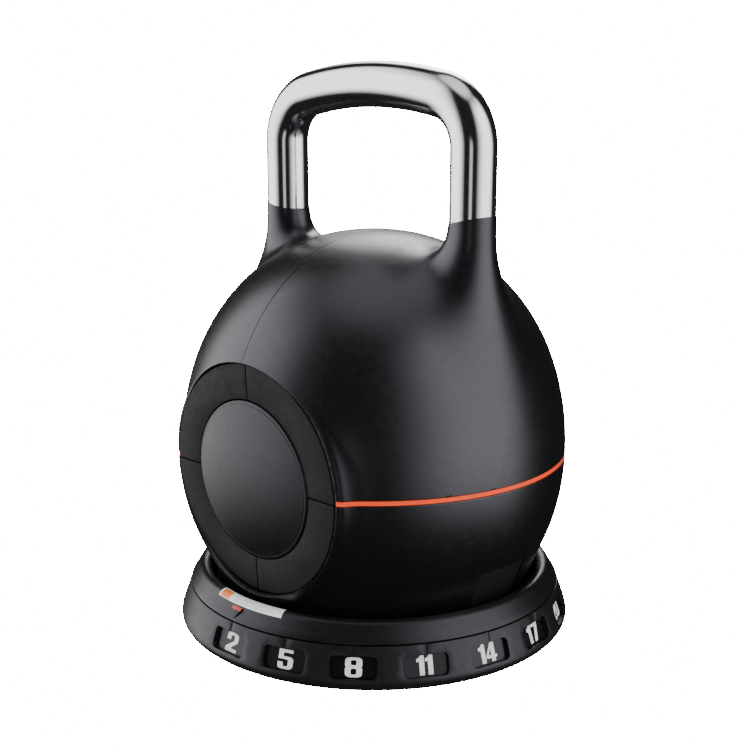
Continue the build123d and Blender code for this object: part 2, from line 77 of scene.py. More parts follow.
DIAL_WELD, DIAL_EDGE, DIAL_EDGE_ANGLE = 0.002, 0.35, 50
DIAL_STEP = math.radians(19.6)
NUMBERS = (2, 5, 8, 11, 14, 17, 20)
PLATE_SLOPE = math.radians(20.0)
PLATE_R, PLATE_Z, PLATE_DEPTH = 121.7, 16.0, 3.5
CREST_X, CREST_Z, CREST_R = 107.84, 34.63, 4.8
TRAY_SLOPE = math.radians(32.3)
KEY_X, KEY_LOW, KEY_HIGH = 95.7, 18.5, 23.5
STICKER_FROM, STICKER_TO, STICKER_TOP, STICKER_DOWN = -101, -73.5, 105, 0.9
STICKER_GAP, STICKER_FILM = 0.04, 0.22
POINTER_TOP, POINTER_RIDGE, POINTER_LOW, POINTER_TIP = 1.9, 4.0, 9.1, 9.3      # down the tray's slope
POINTER_TOP_UP, POINTER_RIDGE_UP, POINTER_LOW_UP = 0.9, 1.3, 0.35      # off the slope
POINTER_HALF = 4.2 / 113.0      # half its width as an angle round the base
POINTER_RIDGE_SHARE, POINTER_EDGE = 0.9, 0.12
# Facets whose middles are below this point are coloured black as painted shade.
POINTER_RED_FROM, POINTER_RED_UP = 4.3, 1.0      # facets whose middles are above this point are red
DIGIT_HEIGHT, SQUEEZE_ONE, SQUEEZE_TWO = 11.2, 1.45, 1.08

CAMERA_AZIMUTH, CAMERA_ELEVATION = math.radians(44.80), math.radians(15.657)
CAMERA_DISTANCE, CAMERA_AIM_Z = 0.804, 0.112
CAMERA_LENS, CAMERA_SENSOR = 61.11, 36.0
CAMERA_SHIFT_X, CAMERA_SHIFT_Y = 0.0012, 0.0929


# ------------------------------------------------------------------ mesh helpers
def linked(name, data):
    """A new object in the scene that shows this mesh, curve or camera."""
    obj = bpy.data.objects.new(name, data)
    bpy.context.scene.collection.objects.link(obj)
    return obj


def make_object(name, verts, faces, smooth=True):
    """A mesh object from millimetre vertices."""
    mesh = bpy.data.meshes.new(name)
    points = [tuple(v) for v in np.asarray(verts, float) * MM]
    mesh.from_pydata(points, [], [tuple(int(i) for i in f) for f in faces])
    mesh.validate()
    mesh.update()
    if smooth:
        mesh.shade_smooth()
    return linked(name, mesh)


def applied(obj):
    """Replaces an object's mesh by its mesh with modifiers applied."""
    dg = bpy.context.evaluated_depsgraph_get()
    mesh = bpy.data.meshes.new_from_object(obj.evaluated_get(dg))
    obj.modifiers.clear()
    old = obj.data
    obj.data = mesh
    bpy.data.meshes.remove(old)
    return obj


def discard(*objs):
    for obj in objs:
        bpy.data.objects.remove(obj, do_unlink=True)


def joined(target, parts):
    """Adds the meshes of the parts to the target's, and drops the parts."""
    bm = bmesh.new()
    for part in [target] + parts:
        bm.from_mesh(part.data)
    bm.to_mesh(target.data)
    bm.free()
    discard(*parts)


def auto_smooth(obj, degrees=30.0):
    """Smooth faces, with edges sharper than the angle kept sharp."""
    mesh = obj.data
    mesh.shade_smooth()
    mesh.set_sharp_from_angle(angle=math.radians(degrees))
    return obj


def bevelled(obj, width, segments=2, angle=40.0):
    mod = obj.modifiers.new("edge", "BEVEL")
    mod.width = width * MM
    mod.segments = segments
    mod.limit_method = "ANGLE"
    mod.angle_limit = math.radians(angle)
    mod.harden_normals = False
    applied(obj)
    return auto_smooth(obj, 35.0)


def lathe(name, profile, segments=256, closed=True, basis=None):
    """Revolves (radius, height) points round the local Z axis. basis is a 4x4 in millimetres."""
    profile = np.asarray(profile, float)
    turn = np.linspace(0, 2 * math.pi, segments, endpoint=False)
    verts, rows = [], []
    for r, z in profile:
        if r < 1e-6:
            rows.append([len(verts)])
            verts.append((0.0, 0.0, z))
        else:
            rows.append(list(range(len(verts), len(verts) + segments)))
            verts += [(r * math.cos(t), r * math.sin(t), z) for t in turn]
    faces = []
    pairs = list(zip(rows[:-1], rows[1:]))
    if closed:
        pairs.append((rows[-1], rows[0]))
    for a, b in pairs:
        for i in range(segments):
            j = (i + 1) % segments
            if len(a) == 1 and len(b) == 1:
                continue
            if len(a) == 1:
                faces.append((a[0], b[j], b[i]))
            elif len(b) == 1:
                faces.append((a[i], a[j], b[0]))
            else:
                faces.append((a[i], a[j], b[j], b[i]))
    verts = np.array(verts)
    if basis is not None:
        basis = np.array(basis)
        verts = verts @ basis[:3, :3].T + basis[:3, 3]
    obj = make_object(name, verts, faces)
    recalc(obj)
    return obj


def recalc(obj):
    bm = bmesh.new()
    bm.from_mesh(obj.data)
    bmesh.ops.recalc_face_normals(bm, faces=bm.faces)
    bm.to_mesh(obj.data)
    bm.free()
    obj.data.update()


def rounded_loop(points, radii, steps=5):
    """A closed outline with its corners rounded; radii may be one number or one each."""
    count = len(points)
    if not hasattr(radii, "__len__"):
        radii = [radii] * count
    out = []
    for i in range(count):
        corner, before, after = (np.array(points[k % count], float) for k in (i, i - 1, i + 1))
        to_before, to_after = before - corner, after - corner
        la, lb = np.linalg.norm(to_before), np.linalg.norm(to_after)
        ua, ub = to_before / la, to_after / lb
        half = math.acos(max(-1.0, min(1.0, float(ua @ ub)))) / 2
        if radii[i] <= 0 or half > math.radians(88):
            out.append(tuple(corner))
            continue
        cut = min(radii[i] / math.tan(half), 0.48 * la, 0.48 * lb)
        start, end = corner + ua * cut, corner + ub * cut
        for s in range(steps + 1):
            t = s / steps
            out.append(tuple((1 - t) ** 2 * start + 2 * t * (1 - t) * corner + t * t * end))
    return out


def plane_basis(origin, x_dir, z_dir):
    x, z = np.array(x_dir, float), np.array(z_dir, float)
    x, z = x / np.linalg.norm(x), z / np.linalg.norm(z)
    basis = np.eye(4)
    basis[:3, 0], basis[:3, 1], basis[:3, 2], basis[:3, 3] = x, np.cross(z, x), z, origin
    return basis


def prism(name, loop, basis, low, high):
    """A closed prism from a 2-D outline in a plane."""
    loop = np.array(loop)
    count = len(loop)
    local = np.array([(x, y, h) for h in (low, high) for x, y in loop])
    verts = local @ basis[:3, :3].T + basis[:3, 3]
    faces = [tuple(range(count - 1, -1, -1)), tuple(range(count, 2 * count))]
    faces += [(i, (i + 1) % count, count + (i + 1) % count, count + i) for i in range(count)]
    obj = make_object(name, verts, faces, smooth=False)
    recalc(obj)
    return obj


# ------------------------------------------------------------------ the ball's implicit surface
def smooth_step(lo, hi, v):
    t = np.clip((v - lo) / (hi - lo), 0, 1)
    return t * t * (3 - 2 * t)


def smooth_min(a, b, k):
    h = np.maximum(k - np.abs(a - b), 0) / k
    return np.minimum(a, b) - h * h * k / 4


def disc_frame(side):
    """Centre and outward direction of a medallion; side is 1 at the front and -1 at the back."""
    centre = np.array((0.0, -side * DISC_FACE, DISC_Z))
    out = np.array((0.0, -side * math.cos(DISC_TILT), -math.sin(DISC_TILT)))
    return centre, out


def shell_distance(p):
    """Signed distance, nearly, from the shell's outer skin at points in millimetres."""
    x, y, z = p[:, 0], p[:, 1], p[:, 2]
    r = np.hypot(x, y)
    h = z - BAND_Z
    power = np.where(h > 0, DOME_POWER, 2.0)
    rise = np.where(h > 0, DOME_RISE, BOWL_DROP)
    u, v = r / BALL_R, np.abs(h) / rise
    g = np.maximum((u ** power + v ** power) ** (1 / power), 1e-6)
    slope = np.hypot(g ** (1 - power) * u ** (power - 1) / BALL_R, g ** (1 - power) * v ** (power - 1) / rise)
    ball = (g - 1) / np.maximum(slope, 1e-6)
    cone = np.maximum((r - SKIRT_R - (z - SKIRT_Z) * SKIRT_SLOPE) / math.hypot(1, SKIRT_SLOPE), z - SKIRT_CUT)
    ball = smooth_min(ball, cone, SKIRT_BLEND)
    flare = HORN_FLARE * (1 - smooth_step(FLARE_LOW, FLARE_HIGH, z))
    horn = np.maximum(np.hypot(np.abs(x) - LEG_X, y) - HORN_R - flare, HORN_FOOT - z)
    skin = smooth_min(ball, horn, HORN_BLEND)
    for side in (1, -1):
        centre, out = disc_frame(side)
        q = p - centre
        along = q @ out
        across = np.sqrt(np.maximum((q * q).sum(1) - along ** 2, 0))
        a, b = across - LIP_R + LIP_ROUND, along + LIP_BACK + LIP_ROUND
        lip = np.hypot(np.maximum(a, 0), np.maximum(b, 0)) + np.minimum(np.maximum(a, b), 0) - LIP_ROUND
        lip = np.maximum(lip, -along - LIP_DEEP)
        k = LIP_BLEND_LOW - (LIP_BLEND_LOW - LIP_BLEND_HIGH) * smooth_step(15, 55, z - DISC_Z)
        skin = smooth_min(skin, lip, k)
    return np.maximum(skin, np.maximum(SKIN_LOW - z, z - SKIN_HIGH))


def to_skin(co, rounds=6):
    """Moves points onto the skin along the distance's gradient, a limited way in each round."""
    for _ in range(rounds):
        d = shell_distance(co)
        grad = np.stack([(shell_distance(co + step) - shell_distance(co - step)) / (2 * PROBE)
                         for step in np.eye(3) * PROBE], 1)
        grad /= np.maximum((grad * grad).sum(1, keepdims=True), FLATTEST)
        co = co - np.clip(d, -FARTHEST, FARTHEST)[:, None] * grad
    return co


def coordinates(mesh):
    co = np.zeros(len(mesh.vertices) * 3, np.float32)
    mesh.vertices.foreach_get("co", co)
    return co.reshape(-1, 3).astype(float) / MM


def set_coordinates(mesh, co):
    mesh.vertices.foreach_set("co", (co * MM).astype(np.float32).ravel())
    mesh.update()


def relaxed(mesh, co, rounds):
    """Evens out the vertices along the surface, and puts them back on the skin."""
    edges = np.zeros(len(mesh.edges) * 2, np.int32)
    mesh.edges.foreach_get("vertices", edges)
    a, b = edges.reshape(-1, 2).T
    count = np.zeros(len(co))
    np.add.at(count, a, 1)
    np.add.at(count, b, 1)
    for _ in range(rounds):
        total = np.zeros_like(co)
        np.add.at(total, a, co[b])
        np.add.at(total, b, co[a])
        co = to_skin(STAY * co + FOLLOW * total / count[:, None], 2)
    return co


def build_skin():
    """The whole outer skin as one closed mesh of even quads, with the horns running on past the collars."""
    dome = [(BALL_R * math.cos(t) ** (2 / DOME_POWER), BAND_Z + DOME_RISE * math.sin(t) ** (2 / DOME_POWER))
            for t in np.linspace(0, math.pi / 2 - 1e-6, 40)]
    bowl = [(BALL_R * math.sqrt(1 - ((BAND_Z - z) / BOWL_DROP) ** 2), z)
            for z in np.linspace(BOWL_FROM, BOWL_TO, 14)]
    outline = [(0, SKIN_LOW), (SKIRT_R - SKIRT_IN, SKIN_LOW)] + bowl + dome
    outline[-1] = (0, BAND_Z + DOME_RISE)
    rough = lathe("skin", outline, 128, closed=False)
    parts = []
    horn = [(0, HORN_ROOT), (HORN_R, HORN_ROOT), (HORN_R, SKIN_HIGH), (0, SKIN_HIGH)]
    for x in (LEG_X, -LEG_X):
        parts.append(lathe("horn", horn, 48, False, plane_basis((x, 0, 0), (1, 0, 0), (0, 0, 1))))
    lip = [(0, -DISC_REACH), (LIP_R, -DISC_REACH), (LIP_R, -LIP_BACK), (0, -LIP_BACK)]
    for side in (1, -1):
        centre, out = disc_frame(side)
        parts.append(lathe("lip", lip, 96, False, plane_basis(centre, (side, 0, 0), out)))
    joined(rough, parts)
    mod = rough.modifiers.new("even", "REMESH")
    mod.mode = "VOXEL"
    mod.voxel_size = VOXEL * MM
    applied(rough)
    co = to_skin(coordinates(rough.data))
    co = relaxed(rough.data, co, 6)
    set_coordinates(rough.data, co)
    mod = rough.modifiers.new("finer", "SUBSURF")
    mod.levels = mod.render_levels = 1
    applied(rough)
    co = to_skin(coordinates(rough.data), 3)
    co = relaxed(rough.data, co, 2)
    set_coordinates(rough.data, to_skin(co, 3))
    return rough


def cut_where(bm, value, test):
    """Drops what lies where value is below zero, cutting each face that the zero line crosses."""
    near = [v for v in bm.verts if test(v.co / MM)]
    worth = {v: value(v.co / MM) for v in near}
    for v, w in worth.items():
        if abs(w) < 1e-4:
            worth[v] = 1e-4
    added = []
    for edge in {e for v in near for e in v.link_edges}:
        a, b = edge.verts
        if a in worth and b in worth and worth[a] * worth[b] < 0:
            share = worth[a] / (worth[a] - worth[b])
            added.append(bmesh.utils.edge_split(edge, a, share)[1])
    bmesh.ops.connect_verts(bm, verts=added)
    on_line = set(added)
    doomed = [f for f in {f for v in near for f in v.link_faces}
              if min((worth.get(v, 1.0) for v in f.verts if v not in on_line), default=1.0) < 0]
    bmesh.ops.delete(bm, geom=doomed, context="FACES")


def cut_mesh(source, name, planes, holes=()):
    """A copy of the skin, cut by (point, normal, test) planes and by (value, test) holes, in millimetres."""
    bm = bmesh.new()
    bm.from_mesh(source.data)
    for point, normal, test in planes:
        faces = [f for f in bm.faces if test is None or test(f.calc_center_median() / MM)]
        geom = set(faces)
        for f in faces:
            geom.update(f.verts)
            geom.update(f.edges)
        bmesh.ops.bisect_plane(bm, geom=list(geom), plane_co=Vector(point) * MM, plane_no=Vector(normal),
                               clear_outer=True, dist=1e-7)
    for value, test in holes:
        cut_where(bm, value, test)
    bmesh.ops.remove_doubles(bm, verts=bm.verts, dist=0.01 * MM)
    mesh = bpy.data.meshes.new(name)
    bm.to_mesh(mesh)
    bm.free()
    return linked(name, mesh)


def thickened(obj, wall):
    mod = obj.modifiers.new("wall", "SOLIDIFY")
    mod.thickness = wall * MM
    mod.offset = -1.0
    mod.use_rim = True
    mod.use_even_offset = False
    return applied(obj)


def sunk_in(obj, depth):
    """Moves a piece's surface towards the ball's upright axis."""
    co = coordinates(obj.data)
    set_coordinates(obj.data, co - co * (1, 1, 0) / np.hypot(co[:, 0], co[:, 1])[:, None] * depth)


def pocket_hole(side):
    """The round hole that a medallion sits in."""
    centre, out = disc_frame(side)
    centre, out = Vector(centre), Vector(out)

    def value(p):
        q = p - centre
        return (q - out * q.dot(out)).length - POCKET_R

    return value, lambda p: (p - centre).dot(out) > -DISC_REACH


def rounded_rectangle(a, b, half_a, half_b, corner):
    """Signed distance from a rounded rectangle, at a and b from its middle."""
    a, b = abs(a) - half_a + corner, abs(b) - half_b + corner
    return math.hypot(max(a, 0), max(b, 0)) + min(max(a, b), 0) - corner


def window_hole(x):
    """A small rounded window low in the skirt's front, and the region round both windows."""
    front_y, side_x, low_z, high_z = -80, 25, 20, 44

    def value(p):
        return rounded_rectangle(p.x - x, p.z - WINDOW_Z, WINDOW_W / 2, WINDOW_H / 2, WINDOW_CORNER)

    return value, lambda p: p.y < front_y and abs(p.x) < side_x and low_z < p.z < high_z


def pad_hole(side):
    """The opening over a sunken pad, low on each side of the skirt."""
    middle, half = (PAD_LOW + PAD_HIGH) / 2, (PAD_HIGH - PAD_LOW) / 2
    outer_x, side_y, low_z, high_z = 75, 34, 20.5, 72

    def value(p):
        return rounded_rectangle(p.y, p.z - middle, PAD_W / 2, half, PAD_CORNER)

    return value, lambda p: p.x * side > outer_x and abs(p.y) < side_y and low_z < p.z < high_z


skin = build_skin()
pockets = [pocket_hole(1), pocket_hole(-1)]
lean = (math.sin(COLLAR_SLANT), math.cos(COLLAR_SLANT))
shells = {}
for side, name in ((1, "shell_upper_right"), (-1, "shell_upper_left")):
    shells[name] = cut_mesh(skin, name, (
        ((side * SEAM_HALF, 0, 0), (-side, 0, 0), None),
        ((0, 0, UPPER_START), (0, 0, -1), None),
        ((side * LEG_X, 0, COLLAR_Z - COLLAR_GAP), (-side * lean[0], 0, lean[1]),
         lambda c: abs(c.x) > HORN_NEAR_X and c.z > HORN_NEAR_Z),
    ), pockets)
shells["shell_lower"] = cut_mesh(skin, "shell_lower", (
    ((0, 0, LOWER_END), (0, 0, 1), None),
    ((0, 0, SKIRT_Z), (0, 0, -1), None),
), pockets + [window_hole(WINDOW_X), window_hole(-WINDOW_X), pad_hole(1), pad_hole(-1)])
for shell in shells.values():
    thickened(shell, WALL)
    bevelled(shell, SHELL_EDGE, 2, SHELL_EDGE_ANGLE)
for side, name in ((1, "band_right"), (-1, "band_left")):
    band = cut_mesh(skin, name, (
        ((side * SEAM_HALF, 0, 0), (-side, 0, 0), None),
        ((0, 0, BAND_TOP), (0, 0, 1), None),
        ((0, 0, BAND_BOTTOM), (0, 0, -1), None),
    ), pockets)
    sunk_in(band, BAND_INSET)
    thickened(band, BAND_DEPTH)
    bevelled(band, SHELL_EDGE, 2, SHELL_EDGE_ANGLE)
    shells[name] = band
for side, name in ((1, "pad_right"), (-1, "pad_left")):
    half = PAD_W / 2 + PAD_LAP
    pad = cut_mesh(skin, name, (
        ((side * PAD_FROM_X, 0, 0), (-side, 0, 0), None),
        ((0, half, 0), (0, 1, 0), None),
        ((0, -half, 0), (0, -1, 0), None),
        ((0, 0, PAD_HIGH + PAD_LAP), (0, 0, 1), None),
        ((0, 0, PAD_LOW - PAD_LAP), (0, 0, -1), None),
    ))
    sunk_in(pad, PAD_SUNK)
    thickened(pad, PAD_THICK)
    shells[name] = pad
discard(skin)


# ------------------------------------------------------------------ materials
GRAIN_DEPTH, SCRATCH_DEPTH = 0.0002, 0.0001      # metres
FINER = 9                 # roughness varies this many times more finely than colour


def node_maker(tree):
    def make(kind, **values):
        node = tree.nodes.new(kind)
        for key, value in values.items():
            setattr(node, key, value)
        return node
    return make


def material(name, colour, rough, metallic=0.0, second=None, patch=30.0, rough_spread=0.06,
             grain=0.0, grain_size=900.0, scratches=0.0, specular=0.5, tint=None):
    """A procedural surface: two near colours in soft patches, uneven roughness, grain and faint scratches."""
    mat = bpy.data.materials.new(name)
    mat.use_nodes = True
    mat.diffuse_color = (*colour, 1.0)
    tree = mat.node_tree
    tree.nodes.clear()
    make, link = node_maker(tree), tree.links.new
    out = make("ShaderNodeOutputMaterial")
    shader = make("ShaderNodeBsdfPrincipled")
    link(shader.outputs["BSDF"], out.inputs["Surface"])
    shader.inputs["Metallic"].default_value = metallic
    shader.inputs["Specular IOR Level"].default_value = specular
    if tint:
        shader.inputs["Specular Tint"].default_value = (*tint, 1.0)
    place = make("ShaderNodeTexCoord")
    soft = make("ShaderNodeTexNoise")
    soft.inputs["Scale"].default_value = patch
    soft.inputs["Detail"].default_value = 5.0
    link(place.outputs["Object"], soft.inputs["Vector"])
    mix = make("ShaderNodeMix", data_type="RGBA")
    mix.inputs["A"].default_value = (*colour, 1.0)
    mix.inputs["B"].default_value = (*(second or tuple(1.25 * c for c in colour)), 1.0)
    link(soft.outputs["Fac"], mix.inputs["Factor"])
    link(mix.outputs["Result"], shader.inputs["Base Color"])
    spread = make("ShaderNodeMapRange")
    spread.inputs["From Min"].default_value = 0.3
    spread.inputs["From Max"].default_value = 0.7
    spread.inputs["To Min"].default_value = max(0.02, rough - rough_spread)
    spread.inputs["To Max"].default_value = min(1.0, rough + rough_spread)
    fine = make("ShaderNodeTexNoise")
    fine.inputs["Scale"].default_value = patch * FINER
    fine.inputs["Detail"].default_value = 3.0
    link(place.outputs["Object"], fine.inputs["Vector"])
    link(fine.outputs["Fac"], spread.inputs["Value"])
    link(spread.outputs["Result"], shader.inputs["Roughness"])
    normal = None
    if grain > 0:
        speck = make("ShaderNodeTexNoise")
        speck.inputs["Scale"].default_value = grain_size
        speck.inputs["Detail"].default_value = 2.0
        link(place.outputs["Object"], speck.inputs["Vector"])
        bump = make("ShaderNodeBump")
        bump.inputs["Strength"].default_value = grain
        bump.inputs["Distance"].default_value = GRAIN_DEPTH
        link(speck.outputs["Fac"], bump.inputs["Height"])
        normal = bump
    if scratches > 0:
        stretch = make("ShaderNodeMapping")
        stretch.inputs["Scale"].default_value = (1.0, 14.0, 90.0)
        stretch.inputs["Rotation"].default_value = (0.3, 0.5, 0.2)
        link(place.outputs["Object"], stretch.inputs["Vector"])
        lines = make("ShaderNodeTexNoise")
        lines.inputs["Scale"].default_value = 28.0
        lines.inputs["Detail"].default_value = 8.0
        link(stretch.outputs["Vector"], lines.inputs["Vector"])
        bump = make("ShaderNodeBump")
        bump.inputs["Strength"].default_value = scratches
        bump.inputs["Distance"].default_value = SCRATCH_DEPTH
        link(lines.outputs["Fac"], bump.inputs["Height"])
        if normal:
            link(normal.outputs["Normal"], bump.inputs["Normal"])
        normal = bump
    if normal:
        link(normal.outputs["Normal"], shader.inputs["Normal"])
    return mat


COOL = (0.90, 0.90, 1.0)
MAT = {
    "shell": material("shell_black", (0.0035, 0.0035, 0.0042), 0.305, grain=0.10, grain_size=1500,
                      rough_spread=0.03, second=(0.0045, 0.0045, 0.0053), specular=0.85, tint=COOL),
    "band": material("band_orange", (0.95, 0.072, 0.010), 0.40, second=(0.90, 0.062, 0.008), patch=60,
                     specular=0.3),
    "chrome": material("chrome", (0.83, 0.83, 0.86), 0.12, metallic=1.0, second=(0.85, 0.85, 0.875),
                       patch=18, rough_spread=0.02, scratches=0.015),
    "steel": material("steel", (0.50, 0.50, 0.52), 0.32, metallic=1.0, patch=60, scratches=0.25),
    "bronze": material("bronze", (0.55, 0.36, 0.17), 0.34, metallic=1.0, patch=60, scratches=0.2),
    "ring": material("ring_grey", (0.0105, 0.0105, 0.0105), 0.52, grain=0.15, grain_size=1300,
                     second=(0.0130, 0.0130, 0.0130), specular=0.14),
    "cap": material("cap_black", (0.0040, 0.0040, 0.0048), 0.31, grain=0.08, grain_size=1500,
                    rough_spread=0.03, specular=0.5, tint=COOL),
    "pad": material("pad_black", (0.0085, 0.0085, 0.0095), 0.42, second=(0.0105, 0.0105, 0.0115),
                    specular=0.4, tint=COOL),
    "plate": material("plate_black", (0.022, 0.022, 0.023), 0.55, grain=0.8, grain_size=700, patch=25,
                      second=(0.032, 0.032, 0.033), scratches=0.1),
    "base": material("base_black", (0.0055, 0.0055, 0.0065), 0.32, grain=0.12, grain_size=1400,
                     rough_spread=0.04, second=(0.0075, 0.0075, 0.0088), specular=0.5, tint=COOL),
    "dial": material("dial_black", (0.0065, 0.0065, 0.0075), 0.36, grain=0.12, grain_size=1400,
                     rough_spread=0.04, second=(0.0085, 0.0085, 0.0098), specular=0.5, tint=COOL),
    "window": material("number_black", (0.004, 0.004, 0.0048), 0.24, rough_spread=0.03, specular=0.4,
                       tint=COOL),
    "digit": material("digit_white", (0.86, 0.86, 0.86), 0.45, second=(0.80, 0.80, 0.80), patch=120),
    "rubber": material("rubber", (0.012, 0.012, 0.012), 0.8, grain=0.6, grain_size=600),
    "nylon": material("nylon", (0.70, 0.68, 0.62), 0.5, patch=40),
    "red": material("pointer_red", (0.60, 0.030, 0.015), 0.3, second=(0.52, 0.025, 0.012), patch=90),
    "sticker": material("sticker_white", (0.84, 0.84, 0.84), 0.35, second=(0.88, 0.88, 0.88), patch=60),
    "orange": material("sticker_orange", (0.86, 0.20, 0.035), 0.35, second=(0.90, 0.23, 0.045), patch=90),
    "rule": material("sticker_rule", (0.45, 0.45, 0.46), 0.4, patch=90),
}
SLOT_MATERIAL = {
    "shell_black": "shell", "band_orange": "band", "chrome": "chrome", "steel": "steel", "bronze": "bronze",
    "ring_grey": "ring", "cap_black": "cap", "plate_black": "plate", "base_black": "base",
    "number_black": "window", "rubber": "rubber", "nylon": "nylon", "pointer_red": "red",
    "sticker_white": "sticker",
}
for node_name, node in nodes.items():
    slots = [m.name.split(".")[0] if m else "" for m in node.data.materials]
    for i, slot_name in enumerate(slots):
        node.data.materials[i] = MAT[SLOT_MATERIAL.get(slot_name, "base")]
    if node_name == "dial_ring":
        node.data.materials[0] = MAT["dial"]


def place(obj, body, mats, slot, *replaced):
    """Gives a piece its materials and its body, and hides the CAD nodes that it stands for."""
    for mat in (mats if isinstance(mats, (list, tuple)) else [mats]):
        obj.data.materials.append(mat)
    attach(obj, body)
    if replaced:
        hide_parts(*replaced)
    return obj


for name, node_name in (("shell_upper_right", "upper_shell_right"), ("shell_upper_left", "upper_shell_left"),
                        ("shell_lower", "lower_shell")):
    place(shells[name], "bell", MAT["shell"], "shell_black", node_name)
for side in ("left", "right"):
    place(shells["band_" + side], "bell", MAT["band"], "band_orange", "accent_band_" + side)
for side in ("left", "right"):
    place(shells["pad_" + side], "bell", MAT["pad"], "shell_black")


# ------------------------------------------------------------------ medallions
CUP_TOP, CUP_BACK, CUP_FLOOR, CUP_WALL = -4.2, -8.4, -7.2, 1.0
CUP_OUTLINE = [(0, CUP_BACK), (POCKET_R + CUP_WALL, CUP_BACK), (POCKET_R + CUP_WALL, CUP_TOP),
               (POCKET_R, CUP_TOP), (POCKET_R, CUP_FLOOR), (0, CUP_FLOOR)]
RIM_HIGHEST, RIM_STEP, RIM_UNDER = 9.0, 0.2, 1.0      # heights tried for the cup's rim, its depth in the shell
RING_OUTER, RING_INNER, RING_THICK, RING_SEAM, RING_PROUD = 68.4, 47.9, 3.2, 0.35, 0.7
RING_EDGE = 0.4
CAP_R, CAP_RISE, CAP_PROUD, CAP_ROUND, CAP_FLOOR = 47.2, 5.5, 1.2, 0.9, -3.9
CAP_STEP_IN, CAP_STEP_DOWN = 2.2, 0.45
CAP_STEP = ((0.12, 0.02), (0.22, 0.35), (0.5, 0.42))      # points of the fine step: outwards and down


def arc(radius, a0, a1, steps):
    return [(radius * math.cos(t), radius * math.sin(t)) for t in np.linspace(a0, a1, steps)]


def cap_outline():
    """Domed face, a fine step near the rim, a rounded rim and a flat back."""
    sphere = (CAP_R ** 2 + CAP_RISE ** 2) / (2 * CAP_RISE)
    top = lambda r: math.sqrt(sphere ** 2 - r ** 2) - sphere + CAP_RISE + CAP_PROUD
    edge = CAP_R - CAP_STEP_IN
    points = [(r, top(r)) for r in np.linspace(0, edge, 30)]
    points += [(edge + outwards, top(edge) - down) for outwards, down in CAP_STEP]
    rim = CAP_R - CAP_ROUND
    level = top(edge) - CAP_STEP_DOWN
    points += [(rim + CAP_ROUND * math.sin(t), level - CAP_ROUND + CAP_ROUND * math.cos(t))
               for t in np.linspace(0, math.pi / 2, 7)]
    return points + [(CAP_R, CAP_FLOOR), (0, CAP_FLOOR)]


def raise_cup(cup, centre, out):
    """Lifts the cup's rim to just under the shell's skin all round, so no gap opens at the pocket's edge."""
    co = coordinates(cup.data)
    q = co - centre
    along = q @ out
    across = q - along[:, None] * out
    top = np.abs(along - CUP_TOP) < 0.01
    unit = across[top] / np.linalg.norm(across[top], axis=1)[:, None]
    rim = np.full(int(top.sum()), CUP_TOP)
    for height in np.arange(CUP_TOP, RIM_HIGHEST, RIM_STEP):
        inside = shell_distance(centre + unit * (POCKET_R + CUP_WALL / 2) + height * out) < -RIM_UNDER
        rim = np.where(inside, height, rim)
    co[top] += (rim - CUP_TOP)[:, None] * out
    set_coordinates(cup.data, co)


for side, place_name in ((1, "front"), (-1, "back")):
    centre, out = disc_frame(side)
    basis = plane_basis(centre, (side, 0, 0), out)
    cup = auto_smooth(lathe(f"{place_name}_cup", CUP_OUTLINE, 192, False, basis))
    raise_cup(cup, centre, out)
    place(cup, "bell", MAT["shell"], "shell_black")
    for k, quarter in enumerate(("upper_right", "upper_left", "lower_left", "lower_right")):
        start = k * math.pi / 2
        loop = []
        for radius, order in ((RING_OUTER, 1), (RING_INNER, -1)):
            inset = RING_SEAM / radius
            loop += arc(radius, start + inset, start + math.pi / 2 - inset, 65)[::order]
        segment = prism(f"{place_name}_quarter_{quarter}", loop, basis, -RING_THICK, RING_PROUD)
        bevelled(segment, RING_EDGE, 3)
        place(segment, "bell", MAT["ring"], "ring_grey", f"{place_name}_ring_{quarter}")
    cap = auto_smooth(lathe(f"{place_name}_boss_cap", cap_outline(), 192, False, basis), 50.0)
    place(cap, "bell", MAT["cap"], "cap_black", f"{place_name}_cap")


# ------------------------------------------------------------------ tray
CREST_END = math.radians(166)
TRAY_FOOT, FOOT_SHARES = (117.6, 28.2), (0.06, 0.35, 0.7)
TRAY_INSIDE = (101.0, 28.0), (99.6, 20.5)      # the inner curve's pull and end
TRAY_UNDER = [(99, 19), (92.3, 19), (92.3, 22), (18, 22), (18, 18), (88.5, 18), (88.5, 15.2), (101.5, 15.2),
              (109.5, 33), (114.2, 28.2), (117.3, 28.2)]
KEY_HALF_X, KEY_HALF_Y, KEY_CORNER, KEY_EDGE = 2.8, 4, 0.8, 0.4


def tray_outline():
    """The tray's section as (radius, height) points, from the outer slope over the crest to the underside."""
    crest = [(CREST_X + CREST_R * math.cos(t), CREST_Z + CREST_R * math.sin(t))
             for t in np.linspace(TRAY_SLOPE, CREST_END, 22)]
    foot, shoulder = np.array(TRAY_FOOT), np.array(crest[0])
    outer = [tuple(foot + (shoulder - foot) * t) for t in FOOT_SHARES]
    ends = np.array((crest[-1], *TRAY_INSIDE))
    inside = [tuple((1 - t) ** 2 * ends[0] + 2 * t * (1 - t) * ends[1] + t * t * ends[2])
              for t in np.linspace(0.08, 1, 12)]
    return outer + crest + inside + TRAY_UNDER


tray = auto_smooth(lathe("tray", tray_outline(), 256, True), 40.0)
keys = []
for x in (KEY_X, -KEY_X):
    loop = rounded_loop([(-KEY_HALF_X, -KEY_HALF_Y), (KEY_HALF_X, -KEY_HALF_Y), (KEY_HALF_X, KEY_HALF_Y),
                         (-KEY_HALF_X, KEY_HALF_Y)], KEY_CORNER)
    key_basis = plane_basis((x, 0, 0), (1, 0, 0), (0, 0, 1))
    keys.append(bevelled(prism("key", loop, key_basis, KEY_LOW, KEY_HIGH), KEY_EDGE))
joined(tray, keys)
place(tray, "base", MAT["base"], "base_black", "base_tray")


